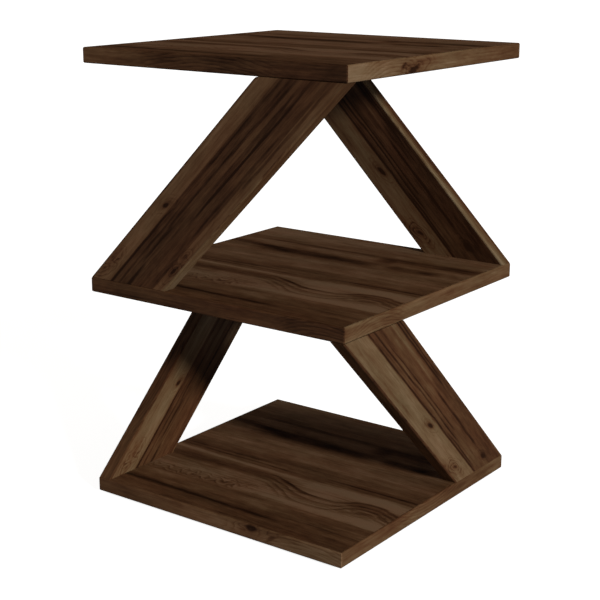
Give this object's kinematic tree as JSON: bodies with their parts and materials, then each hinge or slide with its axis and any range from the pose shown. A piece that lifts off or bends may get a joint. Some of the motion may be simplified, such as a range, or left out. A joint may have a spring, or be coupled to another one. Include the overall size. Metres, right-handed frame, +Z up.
{
  "type": "tiered side table",
  "caption": "Tiered side table of square walnut-decor shelves held apart by flush slanted panels that lean opposite ways, tier by tier, with hidden cam and dowel joints.",
  "frame": {"origin": "on the floor, under the centre of the square shelves, at the underside of the glides", "axes": "+Z up; +X to the table's right and -Y to its front, square to the shelf edges; the upper panels lie in the front and back faces, the lower ones in the left and right faces"},
  "size_m": [0.301, 0.301, 0.45],
  "materials": {
    "walnut_decor_board": "melamine-faced particleboard in dark walnut decor, satin, fine embossed pores",
    "walnut_edge_band": "ABS edge band in dark walnut decor, satin, long edges rounded",
    "beech_dowel": "plain fluted beech, unfinished",
    "zinc_plated_bolt": "zinc-plated steel",
    "die_cast_cam": "die-cast zinc alloy, dull grey",
    "brown_cap_plastic": "dark brown moulded plastic, satin",
    "brown_glide_plastic": "dark brown polyethylene, dull",
    "steel_nail": "bright steel wire"
  },
  "bodies": {
    "root": {"bottom_shelf_back_edge_band": "walnut_edge_band", "bottom_shelf_board": "walnut_decor_board", "bottom_shelf_cam_bolts": "zinc_plated_bolt", "bottom_shelf_dowels": "beech_dowel", "bottom_shelf_front_edge_band": "walnut_edge_band", "bottom_shelf_left_edge_band": "walnut_edge_band", "bottom_shelf_right_edge_band": "walnut_edge_band", "floor_glide_nails": "steel_nail", "floor_glides": "brown_glide_plastic", "lower_left_panel_board": "walnut_decor_board", "lower_left_panel_cam_cover_caps": "brown_cap_plastic", "lower_left_panel_cam_discs": "die_cast_cam", "lower_left_panel_lower_edge_band": "walnut_edge_band", "lower_left_panel_upper_edge_band": "walnut_edge_band", "lower_right_panel_board": "walnut_decor_board", "lower_right_panel_cam_cover_caps": "brown_cap_plastic", "lower_right_panel_cam_discs": "die_cast_cam", "lower_right_panel_lower_edge_band": "walnut_edge_band", "lower_right_panel_upper_edge_band": "walnut_edge_band", "middle_shelf_back_edge_band": "walnut_edge_band", "middle_shelf_board": "walnut_decor_board", "middle_shelf_front_edge_band": "walnut_edge_band", "middle_shelf_left_edge_band": "walnut_edge_band", "middle_shelf_lower_cam_bolts": "zinc_plated_bolt", "middle_shelf_lower_dowels": "beech_dowel", "middle_shelf_right_edge_band": "walnut_edge_band", "middle_shelf_upper_cam_bolts": "zinc_plated_bolt", "middle_shelf_upper_dowels": "beech_dowel", "top_shelf_back_edge_band": "walnut_edge_band", "top_shelf_board": "walnut_decor_board", "top_shelf_cam_bolts": "zinc_plated_bolt", "top_shelf_dowels": "beech_dowel", "top_shelf_front_edge_band": "walnut_edge_band", "top_shelf_left_edge_band": "walnut_edge_band", "top_shelf_right_edge_band": "walnut_edge_band", "upper_back_panel_board": "walnut_decor_board", "upper_back_panel_cam_cover_caps": "brown_cap_plastic", "upper_back_panel_cam_discs": "die_cast_cam", "upper_back_panel_lower_edge_band": "walnut_edge_band", "upper_back_panel_upper_edge_band": "walnut_edge_band", "upper_front_panel_board": "walnut_decor_board", "upper_front_panel_cam_cover_caps": "brown_cap_plastic", "upper_front_panel_cam_discs": "die_cast_cam", "upper_front_panel_lower_edge_band": "walnut_edge_band", "upper_front_panel_upper_edge_band": "walnut_edge_band"}
  },
  "joints": []
}
